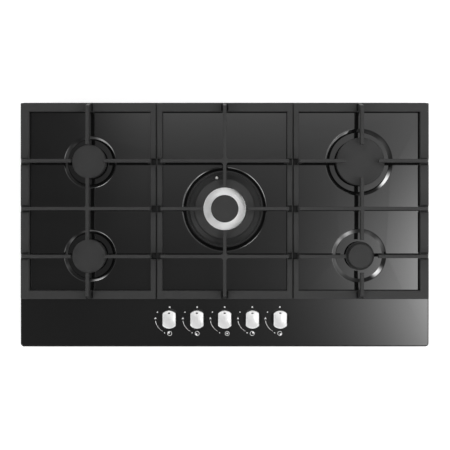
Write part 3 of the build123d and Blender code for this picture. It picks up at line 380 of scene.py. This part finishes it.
# Floor, world, lamp and camera
studio = {
    "floorSize": 30.0, "floorDrop": 0.2 * mm, "floorPaint": 0.55, "floorGlow": 0.62,
    "cameraX": 0.0006, "cameraY": -0.0008, "cameraHeight": 1.8, "panelTop": 0.058,
    "lens": 68.36, "sensor": 36.0, "nearClip": 0.05, "farClip": 100.0,
    "lampAt": (0.8, 0.12, 1.25), "lampSize": 0.9, "lampPower": 8.0,
}
# The world is dim overhead and brighter near the horizon, with a band of light on the right and one
# at the back for the panel's sheen. Places and widths are in parts of a unit direction
sky = {
    "dome": 0.125, "horizon": 0.6, "horizonTop": 0.2, "domeFrom": 0.5, "edgeSoft": 0.03,
    "rightPeak": 20.0, "rightStart": 0.30, "rightSpread": 0.0477, "rightEnd": 0.32,
    "rightY": -0.066, "rightWidth": 0.090,
    "backPeak": 10.0, "backStart": 0.313, "backSpread": 0.0673, "backEnd": 0.22,
    "backLeft": -0.131, "backSoft": 0.0197, "backRight": 0.4,
}
# Soft patches, placed for the sloping rims of the wells; together they also give about half
# of the light on faces that look up. Direction across, direction up, width, brightness
softPatches = (
    (-0.36, 0.39, 0.07, 11.0), (-0.28, 0.47, 0.05, 7.0),
    (0.42, -0.54, 0.08, 4.8), (0.62, -0.37, 0.08, 3.2),
    (-0.50, -0.51, 0.11, 4.6), (-0.70, -0.29, 0.12, 4.4), (-0.78, 0.10, 0.14, 0.5),
    (-0.14, -0.77, 0.12, 1.9),
    (0.78, 0.14, 0.12, 1.3), (0.68, 0.42, 0.11, 1.3), (0.45, 0.66, 0.10, 1.1), (0.66, -0.14, 0.09, 1.2),
)

bm = bmesh.new()
bmesh.ops.create_grid(bm, x_segments=1, y_segments=1, size=studio["floorSize"] / 2,
                      matrix=Matrix.Translation((0, 0, -studio["floorDrop"])))
floorMesh = bpy.data.meshes.new("floor")
bm.to_mesh(floorMesh)
bm.free()
floor = bpy.data.objects.new("floor", floorMesh)
bpy.context.scene.collection.objects.link(floor)

floorMaterial = bpy.data.materials.new("pale_floor")
floorMaterial.use_nodes = True
s = Shader(floorMaterial.node_tree)
# The floor's glow shows to the camera and in reflections, and not to rays that light matt surfaces
direct, mirrored, through = (s.node("ShaderNodeLightPath", output=name)
                             for name in ("Is Camera Ray", "Is Glossy Ray", "Is Transmission Ray"))
showsGlow = direct.maths("MAXIMUM", direct, mirrored)
showsGlow = showsGlow.maths("MAXIMUM", showsGlow, through)
paint = s.node("ShaderNodeBsdfDiffuse", values={"Color": grey(studio["floorPaint"])})
glow = s.node("ShaderNodeEmission", values={"Color": grey(1.0), "Strength": showsGlow * studio["floorGlow"]})
both = s.node("ShaderNodeAddShader", values={0: paint, 1: glow})
s.node("ShaderNodeOutputMaterial", values={"Surface": both})
floorMesh.materials.append(floorMaterial)

world = bpy.data.worlds.new("studio")
bpy.context.scene.world = world
world.use_nodes = True
s = Shader(world.node_tree)
direction = s.node("ShaderNodeTexCoord", output="Generated")
dx, dy, dz = (s.axis(name, direction) for name in "XYZ")


def rise(value, start, spread):
    # Soft step: 0 well below start, 1 well above it
    return 1.0 / (1.0 + value.maths("EXPONENT", (start - value) / spread))


upward = dz.over(0.0)
edgeSoft = sky["edgeSoft"]
rightBand = rise(dx, sky["rightStart"], sky["rightSpread"]) * (1.0 - rise(dx, sky["rightEnd"], edgeSoft))
offset = (dy - sky["rightY"]) / sky["rightWidth"]
rightBand = rightBand * dx.maths("EXPONENT", offset * offset * -0.5) * sky["rightPeak"]
backBand = rise(dy, sky["backStart"], sky["backSpread"]) * (1.0 - rise(dy, sky["backEnd"], edgeSoft))
backBand = backBand * rise(dx, sky["backLeft"], sky["backSoft"])
backBand = backBand * (1.0 - rise(dx, sky["backRight"], edgeSoft)) * sky["backPeak"]
strength = dz.ramp(sky["horizonTop"], sky["domeFrom"], sky["horizon"], sky["dome"])
strength = strength + (rightBand + backBand) * upward
for across, up, width, peak in softPatches:
    away = ((dx - across) ** 2.0 + (dy - up) ** 2.0) / (width * width)
    strength = strength + dx.maths("EXPONENT", away * -0.5) * peak * upward
toCamera = s.node("ShaderNodeLightPath", output="Is Camera Ray")
strength = strength * (1.0 - toCamera) + toCamera  # beyond the floor the camera sees white
background = s.node("ShaderNodeBackground", values={"Color": grey(1.0), "Strength": strength})
s.node("ShaderNodeOutputWorld", values={"Surface": background})

lamp = bpy.data.objects.new("lamp", bpy.data.lights.new("lamp", "AREA"))
bpy.context.scene.collection.objects.link(lamp)
lamp.location = studio["lampAt"]
lamp.data.size = studio["lampSize"]
lamp.data.energy = studio["lampPower"]
lamp.visible_glossy = False
lamp.visible_camera = False

camera = bpy.data.objects.new("camera", bpy.data.cameras.new("camera"))
bpy.context.scene.collection.objects.link(camera)
camera.location = (studio["cameraX"], studio["cameraY"], studio["panelTop"] + studio["cameraHeight"])
camera.data.lens = studio["lens"]
camera.data.sensor_width = studio["sensor"]
camera.data.clip_start = studio["nearClip"]
camera.data.clip_end = studio["farClip"]
bpy.context.scene.camera = camera
bpy.context.scene.view_settings.view_transform = "Standard"
print("studio made")
